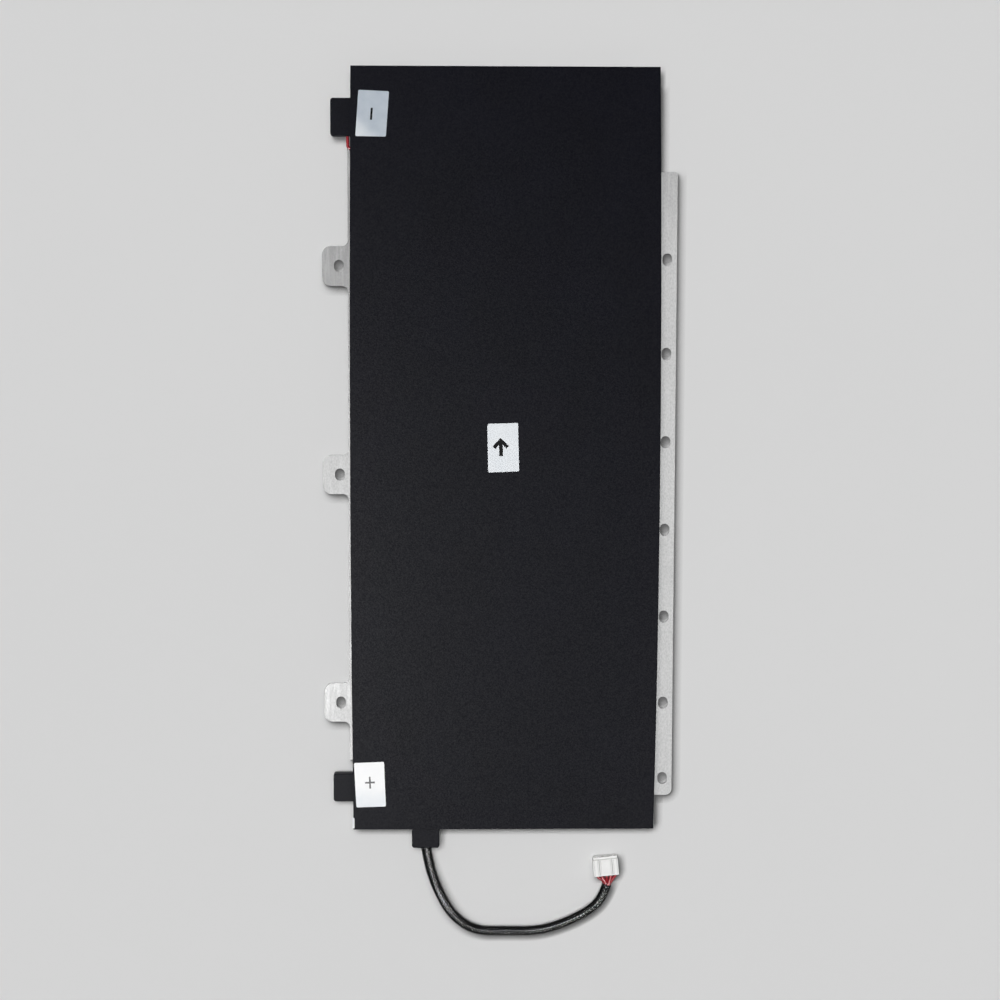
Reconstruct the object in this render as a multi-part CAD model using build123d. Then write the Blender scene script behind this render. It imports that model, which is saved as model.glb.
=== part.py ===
from build123d import *
import os
from math import cos, pi, radians, sin, tan

# Battery module of four flat pouch cells in series, on an aluminium mounting plate.
# Millimetres. +X is the flange side, +Y the negative end, +Z the black cover.
# Everything is laid out from the middle of the cover. PACK_X and PACK_Y then move it, so that the
# origin is under the middle of the whole outline, lead aside, at the level of the plate's
# underside.

# ---- driving dimensions -------------------------------------------------------------------------
BODY_WIDTH = 171.0
BODY_LENGTH = 430.0

FLANGE_REACH = 97.3
TAB_REACH = 102.3
BOOT_END = -226.5
PACK_X = (TAB_REACH - FLANGE_REACH) / 2
PACK_Y = -(BOOT_END + BODY_LENGTH / 2) / 2

# The stack, from the bench up.
PLATE_THICKNESS = 2.0
THERMAL_PAD_THICKNESS = 0.5
CELL_THICKNESS = 8.8
FOAM_THICKNESS = 0.9
COVER_THICKNESS = 0.8
LABEL_THICKNESS = 0.15
PAD_TOP = PLATE_THICKNESS + THERMAL_PAD_THICKNESS
CELL_TOP = PAD_TOP + CELL_THICKNESS
WALL_TOP = CELL_TOP + FOAM_THICKNESS
COVER_TOP = WALL_TOP + COVER_THICKNESS

# The cover is cut by hand: both long edges bow out, and the right one overhangs its wall.
COVER_LEFT_BOW = 1.1
COVER_RIGHT_BOW = 2.0
COVER_RIGHT_OVERHANG = 0.5

# Mounting plate. It shows a little on both sides of the body, except where its edges are cut
# back: on the left beside both terminals, and on the right at the negative end.
PLATE_LEFT_EDGE = -87.8
PLATE_RIGHT_EDGE = 87.3
PLATE_NORTH = 214.4
PLATE_SOUTH = -216.0
PLATE_EDGE_BREAK = 0.2
RECESS_HALF_WIDTH = 84.9
LEFT_RECESS_Y = 177.0
RIGHT_RECESS_Y = 206.0
FLANGE_NORTH = 158.0
FLANGE_SOUTH = -198.0
FLANGE_NORTH_RADIUS = 1.8
FLANGE_SOUTH_RADIUS = 3.6
TAB_WIDTH = 22.4
TAB_CORNER_RADIUS = 5.0
TAB_ROOT_RADIUS = 3.2
TAB_CENTRES = (105.0, -12.5, -143.5)
SLOT_WIDTH = 5.5
SLOT_LENGTH = 7.0
TAB_SLOT_X = -92.8
FLANGE_SLOT_X = 91.8
FLANGE_SLOT_CENTRES = (109.0, 56.0, 6.0, -44.0, -94.0, -144.0, -188.0)

# Walls under the cover.
WALL = 0.8
INNER_X = BODY_WIDTH / 2 - WALL
INNER_Y = BODY_LENGTH / 2 - WALL

# Cells, from the negative end down. The space left at the south end carries the sense wires.
CELL_COUNT = 4
CELL_WIDTH = 148.0
CELL_LENGTH = 103.5
SPACER = 2.0
CELL_PITCH = CELL_LENGTH + SPACER
FIRST_CELL_Y = INNER_Y - 1.2 - CELL_LENGTH / 2
CELL_CENTRES = [FIRST_CELL_Y - n * CELL_PITCH for n in range(CELL_COUNT)]
POUCH_FOIL = 0.3
POUCH_CORNER = 3.0
SEAL_LEDGE = 4.0
SEAL_THICKNESS = 0.9
STACK_WIDTH = 144.0
STACK_LENGTH = 100.0
TAB_FOIL = 0.3
TAB_MIDDLE_Z = 4.4
CELL_TAB_WIDTH = 40.0
CELL_TAB_TIP = 83.5
TAB_SEAL_WIDTH = 43.0
TAB_SEAL_THICKNESS = 0.5
TAB_SEAL_TIP = 78.6
PAD_WIDTH = 140.0
PAD_LENGTH = 96.0

# Current path.
BUSBAR_THICKNESS = 0.5
BUSBAR_INNER = 78.8
BUSBAR_BOTTOM = TAB_MIDDLE_Z + TAB_FOIL / 2
BUSBAR_TOP = BUSBAR_BOTTOM + BUSBAR_THICKNESS
TERMINAL_TIP = -95.6
NEGATIVE_Y = 187.3
NEGATIVE_TERMINAL_WIDTH = 16.6
POSITIVE_Y = -191.7
POSITIVE_TERMINAL_WIDTH = 12.4

# Slip-on caps over the terminals.
CAP_OUTER_X = -97.0
CAP_WALL = 1.2
CAP_END_WALL = 1.0
NEGATIVE_CAP_WIDTH = 21.0
POSITIVE_CAP_WIDTH = 16.3
CAP_BOTTOM = 2.7
CAP_TOP = 8.1
CAP_POCKET_BOTTOM = BUSBAR_BOTTOM - 0.1
CAP_POCKET_TOP = 6.9
CAP_CORNER = 1.6

# Sense wires. Three come down the left side in the lower layer and two down the right side in
# the upper layer, and all five meet in the boot as three below two.
WIRE = 1.6
LANE_PITCH = 1.8
LOWER_LAYER = BUSBAR_TOP + WIRE / 2 + 0.1
UPPER_LAYER = LOWER_LAYER + WIRE + 0.1
BUNDLE_Z = (LOWER_LAYER + UPPER_LAYER) / 2
BUNDLE_PITCH = 1.65
INNER_LANE = 75.2
NORTH_TRUNK = -208.2
TAP_X = 81.0
WIRE_BEND = 1.7
OUTSIDE_WIRE_X = -87.8
OUTSIDE_WIRE_START_Y = 182.0
WALL_ENTRY_X = -87.4
WALL_ENTRY_Y = 170.0

# Moulded exit for the lead.
BOOT_X = -44.4
BOOT_WIDTH = 15.7
BOOT_HEIGHT = 8.4
BOOT_CORNER = 1.7
BOOT_NECK_WIDTH = 10.0
BOOT_NECK_HEIGHT = 6.0
BOOT_FLANGE_WIDTH = 12.5
BOOT_FLANGE_HEIGHT = 7.2
BOOT_FLANGE_THICKNESS = 0.6

# Braided lead, from just inside the boot to the start of the bare wires. It leaves at the height of
# the bundle and comes down to the bench, level with the plate's underside.
LEAD_DIAMETER = 5.2
LEAD_Z = 2.7
LEAD_ROOT = 1.0
LEAD_ROUTE = [
    (BOOT_X, BOOT_END + LEAD_ROOT, BUNDLE_Z),
    (-42.9, -237.5, 5.4),
    (-37.2, -254.5, 3.1),
    (-28.8, -269.2, LEAD_Z),
    (-15.5, -277.7, LEAD_Z),
    (0.5, -277.5, LEAD_Z),
    (21.0, -277.9, LEAD_Z),
    (38.5, -272.0, LEAD_Z),
    (51.9, -264.6, LEAD_Z),
    (58.0, -257.2, LEAD_Z),
    (60.1, -250.6, LEAD_Z),
]

# Five-way connector at the end of the lead. Its rear face is where the wires go in.
WAYS = 5
WAY_PITCH = 2.5
CONNECTOR_REAR = (60.0, -244.6)
CONNECTOR_TURN = 5.5
CONNECTOR_Z = 3.0
HOUSING_WIDTH = 14.4
HOUSING_DEPTH = 9.6
HOUSING_HEIGHT = 5.6
NOSE_WIDTH = 13.6
NOSE_DEPTH = 1.5
NOSE_HEIGHT = 4.6
WAY_OPENING = 1.9
CONTACT = 1.7
CONTACT_LENGTH = 6.5
RIDGE_OFFSETS = (-6.9, -4.2, -3.2, 3.2, 4.2, 6.9)
RIDGE_WIDTH = 0.5
RIDGE_HEIGHT = 0.35
LANCE_WINDOW_WIDTH = 1.2
LANCE_WINDOW_SOUTH = 4.2
LANCE_WINDOW_NORTH = 6.2
WIRE_INSERTION = 2.5

# Labels: the corners of each hand-cut sticker, in order round it.
NEGATIVE_LABEL = [(-81.1, 201.8), (-64.2, 201.0), (-66.0, 176.3), (-82.9, 176.5)]
CENTRE_LABEL = [(-9.6, 17.1), (7.7, 17.7), (8.4, -9.6), (-9.0, -10.3)]
POSITIVE_LABEL = [(-85.1, -176.3), (-68.0, -175.7), (-67.0, -201.6), (-83.8, -202.1)]
LABEL_CORNER = 0.8

# White strip at the lower left corner, let into the cover and the wall.
STRIP_OUTER_X = -86.1
STRIP_INNER_X = -84.9
STRIP_NORTH = -208.3
STRIP_SOUTH = -214.2
STRIP_BOTTOM = 2.2


# ---- helpers ------------------------------------------------------------------------------------
def block(x_low, x_high, y_low, y_high, z_low, z_high):
    """A box between two corners."""
    size = Box(x_high - x_low, y_high - y_low, z_high - z_low)
    return Pos((x_low + x_high) / 2, (y_low + y_high) / 2, (z_low + z_high) / 2) * size


def sheet(width, length, centre_y, bottom, thickness):
    """A flat rectangular sheet, centred across the pack."""
    half_width = width / 2
    half_length = length / 2
    return block(
        -half_width, half_width,
        centre_y - half_length, centre_y + half_length,
        bottom, bottom + thickness,
    )


def upright_edges(solid):
    """The solid's edges along Z."""
    return solid.edges().filter_by(Axis.Z)


def corners_near(sketch, x, y_values):
    """The corners of a flat outline at one x and several y."""
    return [
        corner
        for corner in sketch.vertices()
        for y in y_values
        if abs(corner.X - x) < 0.1 and abs(corner.Y - y) < 0.1
    ]


def tube_along(points, diameter, radii):
    """A round bar along straight runs joined by tangent arcs."""
    path = FilletPolyline(*points, radius=radii)
    profile = Plane(origin=path @ 0, z_dir=path % 0) * Circle(diameter / 2)
    return sweep(profile, path=path)


def largest_radii(points):
    """For each corner, an arc that takes up 0.45 of its shorter run."""
    places = [Vector(*point) for point in points]
    radii = []
    for before, corner, after in zip(places, places[1:], places[2:]):
        shorter = min((corner - before).length, (after - corner).length)
        turn = radians((corner - before).get_angle(after - corner))
        radii.append(0.45 * shorter / tan(turn / 2))
    return radii


# ---- mounting plate -----------------------------------------------------------------------------
def rectangle(x_low, x_high, y_low, y_high):
    """A flat rectangle between two corners."""
    size = Rectangle(x_high - x_low, y_high - y_low)
    return Pos((x_low + x_high) / 2, (y_low + y_high) / 2) * size


def plate_outline():
    """The plate seen from above, with its flange, tabs and recesses."""
    root = RECESS_HALF_WIDTH
    outline = Sketch() + rectangle(-root, root, PLATE_SOUTH, PLATE_NORTH)
    outline += rectangle(PLATE_LEFT_EDGE, -root, -LEFT_RECESS_Y, LEFT_RECESS_Y)
    outline += rectangle(root, PLATE_RIGHT_EDGE, PLATE_SOUTH, RIGHT_RECESS_Y)
    outline += rectangle(root, FLANGE_REACH, FLANGE_SOUTH, FLANGE_NORTH)
    outline = fillet(corners_near(outline, FLANGE_REACH, [FLANGE_NORTH]), FLANGE_NORTH_RADIUS)
    outline = fillet(corners_near(outline, FLANGE_REACH, [FLANGE_SOUTH]), FLANGE_SOUTH_RADIUS)
    for centre in TAB_CENTRES:
        half = TAB_WIDTH / 2
        outline += rectangle(-TAB_REACH, -root, centre - half, centre + half)
    sides = [centre + side * TAB_WIDTH / 2 for centre in TAB_CENTRES for side in (-1, 1)]
    outline = fillet(corners_near(outline, -TAB_REACH, sides), TAB_CORNER_RADIUS)
    return fillet(corners_near(outline, PLATE_LEFT_EDGE, sides), TAB_ROOT_RADIUS)


def mounting_plate():
    """Aluminium plate with its slots, edges broken on both faces."""
    plate = extrude(plate_outline(), amount=PLATE_THICKNESS)
    faces = plate.faces().filter_by(Axis.Z)
    plate = chamfer(faces.edges(), PLATE_EDGE_BREAK)
    slot = extrude(SlotOverall(SLOT_LENGTH, SLOT_WIDTH, rotation=90), amount=PLATE_THICKNESS)
    places = [(TAB_SLOT_X, y) for y in TAB_CENTRES]
    places += [(FLANGE_SLOT_X, y) for y in FLANGE_SLOT_CENTRES]
    for x, y in places:
        plate -= Pos(x, y) * slot
    return plate


# ---- cells --------------------------------------------------------------------------------------
def pouch(centre_y):
    """Laminate pouch: a hollow body with a sealed ledge at each end, open only for the tabs."""
    body = sheet(CELL_WIDTH, CELL_LENGTH, centre_y, PAD_TOP, CELL_THICKNESS)
    body = fillet(upright_edges(body), POUCH_CORNER)
    ledge_bottom = TAB_MIDDLE_Z - SEAL_THICKNESS / 2
    ledge_width = CELL_WIDTH + 2 * SEAL_LEDGE
    body += sheet(ledge_width, CELL_LENGTH - 8, centre_y, ledge_bottom, SEAL_THICKNESS)
    body -= sheet(
        CELL_WIDTH - 2 * POUCH_FOIL, STACK_LENGTH,
        centre_y, PAD_TOP + POUCH_FOIL, CELL_THICKNESS - 2 * POUCH_FOIL,
    )
    seal_bottom = TAB_MIDDLE_Z - TAB_SEAL_THICKNESS / 2
    body -= sheet(
        ledge_width + 2, TAB_SEAL_WIDTH, centre_y, seal_bottom, TAB_SEAL_THICKNESS
    )
    return body


def electrode_stack(centre_y):
    """The wound or stacked electrodes that fill the pouch."""
    height = CELL_THICKNESS - 2 * POUCH_FOIL
    return sheet(STACK_WIDTH, STACK_LENGTH, centre_y, PAD_TOP + POUCH_FOIL, height)


def cell_tab(centre_y, side):
    """One foil tab, from the stack out past the pouch. Side is -1 for left and 1 for right."""
    reach = sorted((side * STACK_WIDTH / 2, side * CELL_TAB_TIP))
    low = TAB_MIDDLE_Z - TAB_FOIL / 2
    half = CELL_TAB_WIDTH / 2
    return block(*reach, centre_y - half, centre_y + half, low, low + TAB_FOIL)


def tab_seals(centre_y):
    """The polymer films that seal both tabs into the pouch."""
    seals = []
    low = TAB_MIDDLE_Z - TAB_SEAL_THICKNESS / 2
    half = TAB_SEAL_WIDTH / 2
    for side in (-1, 1):
        reach = sorted((side * (CELL_WIDTH / 2 - POUCH_FOIL), side * TAB_SEAL_TIP))
        film = block(*reach, centre_y - half, centre_y + half, low, low + TAB_SEAL_THICKNESS)
        seals.append(film - cell_tab(centre_y, side))
    return seals


# ---- current path -------------------------------------------------------------------------------
def busbar(upper_cell, side):
    """The link between one cell and the next, lying on their tabs."""
    reach = sorted((side * BUSBAR_INNER, side * CELL_TAB_TIP))
    high = CELL_CENTRES[upper_cell] + CELL_TAB_WIDTH / 2
    low = CELL_CENTRES[upper_cell + 1] - CELL_TAB_WIDTH / 2
    return block(*reach, low, high, BUSBAR_BOTTOM, BUSBAR_TOP)


def terminal(cell, outlet_y, width, end):
    """A strip along the end cell's tab, with a tongue that comes out through the wall."""
    inner_end = CELL_CENTRES[cell] - end * CELL_TAB_WIDTH / 2
    outer_end = outlet_y + end * width / 2
    low, high = sorted((inner_end, outer_end))
    strip = block(-CELL_TAB_TIP, -BUSBAR_INNER, low, high, BUSBAR_BOTTOM, BUSBAR_TOP)
    tongue = block(
        TERMINAL_TIP, -BUSBAR_INNER, outlet_y - width / 2, outlet_y + width / 2,
        BUSBAR_BOTTOM, BUSBAR_TOP,
    )
    return strip + tongue


def terminal_cap(outlet_y, width, wire_notch):
    """A slip-on cap, open towards the wall. The negative one has a notch for its sense wire."""
    mouth = -BODY_WIDTH / 2
    south = outlet_y - width / 2
    north = outlet_y + width / 2
    cap = block(CAP_OUTER_X, mouth, south, north, CAP_BOTTOM, CAP_TOP)
    outer_corners = upright_edges(cap).group_by(Axis.X)[0]
    cap = fillet(outer_corners, CAP_CORNER)
    cap = fillet(cap.faces().sort_by(Axis.Z)[-1].edges().filter_by_position(
        Axis.X, CAP_OUTER_X - 1, mouth - 0.1), 0.5)
    cap -= block(
        CAP_OUTER_X + CAP_END_WALL, mouth, south + CAP_WALL, north - CAP_WALL,
        CAP_POCKET_BOTTOM, CAP_POCKET_TOP,
    )
    if wire_notch:
        cap -= block(
            OUTSIDE_WIRE_X - WIRE / 2 - 0.3, mouth, south, south + CAP_WALL,
            CAP_POCKET_BOTTOM, CAP_POCKET_TOP,
        )
    return cap


# ---- walls and cover ----------------------------------------------------------------------------
def corner_strip():
    """Short white strip down the outside of the lower left corner."""
    return block(
        STRIP_OUTER_X, STRIP_INNER_X, STRIP_SOUTH, STRIP_NORTH, STRIP_BOTTOM, COVER_TOP - 0.1
    )


def cover_outline():
    """The cover seen from above, with its two bowed edges."""
    left = -BODY_WIDTH / 2
    right = BODY_WIDTH / 2 + COVER_RIGHT_OVERHANG
    end = BODY_LENGTH / 2
    edges = [
        Line((left, end), (right, end)),
        ThreePointArc((right, end), (right + COVER_RIGHT_BOW, 0), (right, -end)),
        Line((right, -end), (left, -end)),
        ThreePointArc((left, -end), (left - COVER_LEFT_BOW, 0), (left, end)),
    ]
    return make_face(edges)


def top_board():
    """The black cover, with a small step for the corner strip."""
    board = Pos(0, 0, WALL_TOP) * extrude(cover_outline(), amount=COVER_THICKNESS)
    board = chamfer(board.faces().sort_by(Axis.Z)[-1].edges(), 0.12)
    return board - block(
        -BODY_WIDTH, STRIP_INNER_X, STRIP_SOUTH, STRIP_NORTH, WALL_TOP, COVER_TOP
    )


def side_wall(side):
    """A long wall under the cover."""
    reach = sorted((side * INNER_X, side * BODY_WIDTH / 2))
    half = BODY_LENGTH / 2
    return block(*reach, -half, half, PLATE_THICKNESS, WALL_TOP)


def left_wall():
    """The wall that the terminals and one sense wire pass through."""
    wall = side_wall(-1) - corner_strip()
    for outlet_y, width in (
        (NEGATIVE_Y, NEGATIVE_TERMINAL_WIDTH), (POSITIVE_Y, POSITIVE_TERMINAL_WIDTH),
    ):
        half = width / 2 + 0.3
        wall -= block(
            -BODY_WIDTH, -BODY_WIDTH / 4, outlet_y - half, outlet_y + half,
            BUSBAR_BOTTOM - 0.2, BUSBAR_TOP + 0.2,
        )
    half = WIRE / 2 + 0.2
    return wall - block(
        -BODY_WIDTH, -BODY_WIDTH / 4, WALL_ENTRY_Y - half, WALL_ENTRY_Y + half,
        LOWER_LAYER - half, LOWER_LAYER + half,
    )


def end_wall(end):
    """A short wall between the long ones. End is 1 for the negative end, -1 for the positive."""
    reach = sorted((end * INNER_Y, end * BODY_LENGTH / 2))
    return block(-INNER_X, INNER_X, *reach, PLATE_THICKNESS, WALL_TOP)


# ---- lead exit ----------------------------------------------------------------------------------
def boot_neck():
    """The part of the boot inside the wall's opening."""
    half_width = BOOT_NECK_WIDTH / 2
    half_height = BOOT_NECK_HEIGHT / 2
    return block(
        BOOT_X - half_width, BOOT_X + half_width, -BODY_LENGTH / 2, -INNER_Y,
        BUNDLE_Z - half_height, BUNDLE_Z + half_height,
    )


def cable_boot():
    """Moulded boot gripping the end wall, with a channel for the five wires."""
    half_height = BOOT_HEIGHT / 2
    body = block(
        BOOT_X - BOOT_WIDTH / 2, BOOT_X + BOOT_WIDTH / 2, BOOT_END, -BODY_LENGTH / 2,
        BUNDLE_Z - half_height, BUNDLE_Z + half_height,
    )
    outer_corners = upright_edges(body).group_by(Axis.Y)[0]
    body = fillet(outer_corners, BOOT_CORNER)
    body = fillet(body.faces().sort_by(Axis.Z)[-1].edges().filter_by_position(
        Axis.Y, BOOT_END - 1, -BODY_LENGTH / 2 - 0.1), 0.6)
    flange = block(
        BOOT_X - BOOT_FLANGE_WIDTH / 2, BOOT_X + BOOT_FLANGE_WIDTH / 2,
        -INNER_Y, -INNER_Y + BOOT_FLANGE_THICKNESS,
        BUNDLE_Z - BOOT_FLANGE_HEIGHT / 2, BUNDLE_Z + BOOT_FLANGE_HEIGHT / 2,
    )
    channel_width = 2 * BUNDLE_PITCH + WIRE + 0.1
    channel_height = UPPER_LAYER - LOWER_LAYER + WIRE + 0.1
    channel = block(
        BOOT_X - channel_width / 2, BOOT_X + channel_width / 2, BOOT_END, 0,
        BUNDLE_Z - channel_height / 2, BUNDLE_Z + channel_height / 2,
    )
    return body + boot_neck() + flange - channel


# ---- sense wires --------------------------------------------------------------------------------
def side_route(start, lane, side, trunk_y, layer, slot_x):
    """A tap's way down one side, along the south end and out through the boot."""
    return [
        *start,
        (side * lane, start[-1][1], layer),
        (side * lane, trunk_y, layer),
        (BOOT_X + slot_x, trunk_y, layer),
        (BOOT_X + slot_x, BOOT_END, layer),
    ]


def sense_wire_routes():
    """The corners of the five sense wires, in the order of their voltages."""
    tap_height = BUSBAR_TOP + WIRE / 2
    first_start = [
        (OUTSIDE_WIRE_X, OUTSIDE_WIRE_START_Y, tap_height),
        (WALL_ENTRY_X, WALL_ENTRY_Y, LOWER_LAYER),
    ]
    middle_left = (CELL_CENTRES[1] + CELL_CENTRES[2]) / 2
    upper_right = (CELL_CENTRES[0] + CELL_CENTRES[1]) / 2
    lower_right = (CELL_CENTRES[2] + CELL_CENTRES[3]) / 2
    last_left = CELL_CENTRES[3]
    return [
        side_route(first_start, INNER_LANE, -1, NORTH_TRUNK, LOWER_LAYER, BUNDLE_PITCH),
        side_route(
            [(TAP_X, upper_right, BUSBAR_TOP), (TAP_X, upper_right, UPPER_LAYER)],
            INNER_LANE, 1, NORTH_TRUNK - LANE_PITCH / 2, UPPER_LAYER, -BUNDLE_PITCH / 2,
        ),
        side_route(
            [(-TAP_X, middle_left, tap_height)],
            INNER_LANE + LANE_PITCH, -1, NORTH_TRUNK - LANE_PITCH, LOWER_LAYER, 0,
        ),
        side_route(
            [(TAP_X, lower_right, BUSBAR_TOP), (TAP_X, lower_right, UPPER_LAYER)],
            INNER_LANE + LANE_PITCH, 1, NORTH_TRUNK - 1.5 * LANE_PITCH, UPPER_LAYER,
            BUNDLE_PITCH / 2,
        ),
        side_route(
            [(-TAP_X - 1, last_left, tap_height)],
            INNER_LANE + 2 * LANE_PITCH, -1, NORTH_TRUNK - 2 * LANE_PITCH, LOWER_LAYER,
            -BUNDLE_PITCH,
        ),
    ]


def sense_wire(points):
    """One insulated wire with bends of the usual radius, or less where there is no room."""
    radii = [min(WIRE_BEND, radius) for radius in largest_radii(points)]
    return tube_along(points, WIRE, radii)


# ---- lead and connector -------------------------------------------------------------------------
def lead_sleeve():
    """The braided lead as one closed tube, cut flush with the boot's end face."""
    radii = largest_radii(LEAD_ROUTE)
    path = FilletPolyline(*LEAD_ROUTE, radius=radii)
    tube = tube_along(LEAD_ROUTE, LEAD_DIAMETER, radii)
    print("lead radii:", [round(radius, 1) for radius in radii])
    print("lead length:", round(path.length, 1))
    print("lead volume over section x length:",
          round(tube.volume / (pi * LEAD_DIAMETER ** 2 / 4 * path.length), 4))
    return tube - block(-BODY_WIDTH, 0, BOOT_END, 0, 0, COVER_TOP)


def connector_place():
    """The connector's own frame: origin in its rear face, +Y towards the mating end."""
    return Pos(*CONNECTOR_REAR, CONNECTOR_Z) * Rot(0, 0, CONNECTOR_TURN)


def way_offsets():
    """Sideways places of the connector's ways, from its middle."""
    middle = (WAYS - 1) / 2
    return [(way - middle) * WAY_PITCH for way in range(WAYS)]


def connector_housing():
    """Five-way housing: ridges along its top, a slimmer nose, and windows for the contacts' lances."""
    half_width = HOUSING_WIDTH / 2
    half_height = HOUSING_HEIGHT / 2
    body = block(-half_width, half_width, 0, HOUSING_DEPTH, -half_height, half_height)
    body = chamfer(body.edges().filter_by(Axis.Y), 0.3)
    total_depth = HOUSING_DEPTH + NOSE_DEPTH
    body += block(
        -NOSE_WIDTH / 2, NOSE_WIDTH / 2, HOUSING_DEPTH, total_depth,
        -NOSE_HEIGHT / 2, NOSE_HEIGHT / 2,
    )
    for x in RIDGE_OFFSETS:
        body += block(
            x - RIDGE_WIDTH / 2, x + RIDGE_WIDTH / 2, 0.4, HOUSING_DEPTH,
            half_height - 0.3, half_height + RIDGE_HEIGHT,
        )
    half_way = WAY_OPENING / 2
    half_window = LANCE_WINDOW_WIDTH / 2
    for x in way_offsets():
        body -= block(x - half_way, x + half_way, 0, total_depth, -half_way, half_way)
        body -= block(
            x - half_window, x + half_window, LANCE_WINDOW_SOUTH, LANCE_WINDOW_NORTH,
            -half_height, 0,
        )
    return connector_place() * body


def connector_contacts():
    """The crimped contacts, each a small open-ended box behind its wire."""
    half = CONTACT / 2
    contacts = []
    for x in way_offsets():
        contact = block(
            x - half, x + half, WIRE_INSERTION, WIRE_INSERTION + CONTACT_LENGTH, -half, half
        )
        socket = block(
            x - half / 2, x + half / 2, WIRE_INSERTION + 2, WIRE_INSERTION + CONTACT_LENGTH,
            -half / 2, half / 2,
        )
        contacts.append(connector_place() * (contact - socket))
    return contacts


def connector_wires():
    """The bare wires that fan out from the lead's end to the connector."""
    lead_end = Vector(*LEAD_ROUTE[-1])
    forward = (lead_end - Vector(*LEAD_ROUTE[-2])).normalized()
    sideways = forward.cross(Vector(0, 0, 1))
    turn = radians(CONNECTOR_TURN)
    across = Vector(cos(turn), sin(turn), 0)
    inward = Vector(-sin(turn), cos(turn), 0)
    rear = Vector(*CONNECTOR_REAR, CONNECTOR_Z)
    layer_offset = (UPPER_LAYER - LOWER_LAYER) / 2
    wires = []
    for way, x in enumerate(way_offsets()):
        bundle_x = (way - (WAYS - 1) / 2) * BUNDLE_PITCH / 2
        rise = layer_offset if way % 2 else -layer_offset
        start = lead_end + sideways * bundle_x + Vector(0, 0, rise)
        mouth = rear + across * x
        points = [
            start,
            start + forward * 1.2,
            mouth - inward * 1.2,
            mouth + inward * WIRE_INSERTION,
        ]
        wires.append(sense_wire([tuple(point) for point in points]))
    return wires


# ---- labels -------------------------------------------------------------------------------------
def label(corners):
    """A thin sticker on the cover, cut by hand, with softened corners."""
    outline = make_face(Polyline(*corners, close=True))
    outline = fillet(outline.vertices(), LABEL_CORNER)
    return Pos(0, 0, COVER_TOP) * extrude(outline, amount=LABEL_THICKNESS)


# ---- the pack -----------------------------------------------------------------------------------
def cell_parts(number, centre_y, positive_side):
    """All the pieces of one cell, with the pads under and over it."""
    name = f"cell_{number}"
    return {
        f"thermal_pad_{number}": sheet(
            PAD_WIDTH, PAD_LENGTH, centre_y, PLATE_THICKNESS, THERMAL_PAD_THICKNESS
        ),
        f"foam_pad_{number}": sheet(PAD_WIDTH, PAD_LENGTH, centre_y, CELL_TOP, FOAM_THICKNESS),
        f"{name}_pouch": pouch(centre_y),
        f"{name}_electrode_stack": electrode_stack(centre_y),
        f"{name}_positive_tab": cell_tab(centre_y, positive_side),
        f"{name}_negative_tab": cell_tab(centre_y, -positive_side),
        f"{name}_tab_seals": tab_seals(centre_y),
    }


def cell_spacers():
    """Foam strips between neighbouring cells."""
    middles = [(a + b) / 2 for a, b in zip(CELL_CENTRES, CELL_CENTRES[1:])]
    return [sheet(PAD_WIDTH, SPACER, y, PAD_TOP, CELL_THICKNESS) for y in middles]


def insulation(side):
    """Insulating strip on the plate, under the live tabs of one side."""
    reach = sorted((side * (CELL_WIDTH / 2 + 1), side * (INNER_X - 0.5)))
    return block(*reach, -206, 213, PLATE_THICKNESS, PLATE_THICKNESS + 0.3)


def pack_parts():
    """Every piece of the pack, by name."""
    parts = {
        "mounting_plate": mounting_plate(),
        "left_insulation": insulation(-1),
        "right_insulation": insulation(1),
        "cell_spacers": cell_spacers(),
        "busbar_1_2": busbar(0, 1),
        "busbar_2_3": busbar(1, -1),
        "busbar_3_4": busbar(2, 1),
        "negative_terminal": terminal(0, NEGATIVE_Y, NEGATIVE_TERMINAL_WIDTH, 1),
        "positive_terminal": terminal(3, POSITIVE_Y, POSITIVE_TERMINAL_WIDTH, -1),
        "negative_terminal_cap": terminal_cap(NEGATIVE_Y, NEGATIVE_CAP_WIDTH, True),
        "positive_terminal_cap": terminal_cap(POSITIVE_Y, POSITIVE_CAP_WIDTH, False),
        "left_wall": left_wall(),
        "right_wall": side_wall(1),
        "negative_end_wall": end_wall(1),
        "positive_end_wall": end_wall(-1) - boot_neck(),
        "corner_strip": corner_strip(),
        "top_board": top_board(),
        "negative_label": label(NEGATIVE_LABEL),
        "centre_label": label(CENTRE_LABEL),
        "positive_label": label(POSITIVE_LABEL),
        "cable_boot": cable_boot(),
        "lead_sleeve": lead_sleeve(),
        "connector_housing": connector_housing(),
        "connector_contacts": connector_contacts(),
        "connector_wires": connector_wires(),
    }
    for number, centre_y in enumerate(CELL_CENTRES, start=1):
        positive_side = 1 if number % 2 else -1
        parts.update(cell_parts(number, centre_y, positive_side))
    for number, points in enumerate(sense_wire_routes(), start=1):
        parts[f"sense_wire_{number}"] = sense_wire(points)
    return parts


def write_parts(parts):
    """One file per piece, moved to the origin described at the top."""
    os.makedirs("parts", exist_ok=True)
    for name, shape in parts.items():
        solids = shape if isinstance(shape, list) else [shape]
        placed = [Pos(PACK_X, PACK_Y, 0) * solid for solid in solids]
        whole = placed[0] if len(placed) == 1 else Compound(children=placed)
        export_step(whole, f"parts/{name}.step")


write_parts(pack_parts())
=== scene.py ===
import math

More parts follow.
